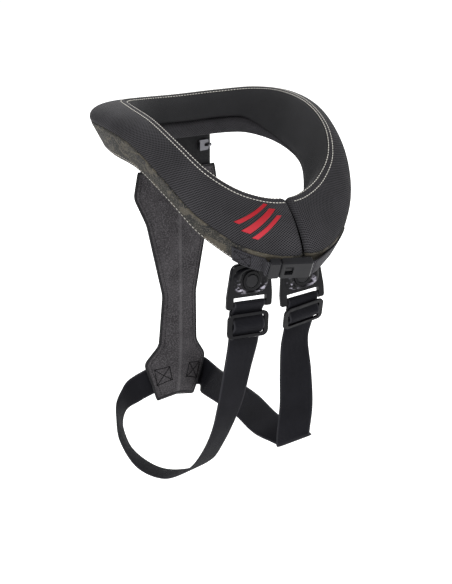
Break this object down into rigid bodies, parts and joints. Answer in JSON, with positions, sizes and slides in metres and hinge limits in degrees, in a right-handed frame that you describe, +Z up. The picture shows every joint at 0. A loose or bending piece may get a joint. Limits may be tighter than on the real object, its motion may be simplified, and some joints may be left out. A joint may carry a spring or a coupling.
{
  "type": "neck brace",
  "caption": "Padded motocross neck brace: a split foam collar closed by a front buckle, a back panel, and chest straps with clips and sliders.",
  "frame": {"origin": "middle of the neck opening, where the collar sits round the neck", "axes": "+Z up along the wearer's neck, -Y ahead of the wearer, -X to the wearer's right"},
  "size_m": [0.2612, 0.3429, 0.4466],
  "materials": {
    "mesh_cloth": "matte net cloth over foam",
    "lining_cloth": "smooth matte cloth",
    "band_cloth": "blotched printed cloth",
    "tab_cloth": "plain black cloth",
    "suede": "napped grey suede",
    "webbing": "ribbed webbing",
    "steel": "satin",
    "matte_plastic": "satin black",
    "gloss_plastic": "glossy black"
  },
  "bodies": {
    "root": {"collar_pad": "mesh_cloth", "neck_lining": "lining_cloth", "side_band": "band_cloth", "back_tab": "tab_cloth", "back_panel": "suede", "anchor_plate": "steel", "front_strap_right": "webbing", "front_strap_left": "webbing", "buckle_body": "matte_plastic", "buckle_prongs": "matte_plastic", "hanger_right": "webbing", "hanger_left": "webbing", "clip_right": "gloss_plastic", "clip_left": "gloss_plastic", "stud_right": "matte_plastic", "stud_left": "matte_plastic", "slider_right": "matte_plastic", "slider_left": "matte_plastic", "strap_right": "webbing", "strap_left": "webbing"}
  },
  "joints": []
}
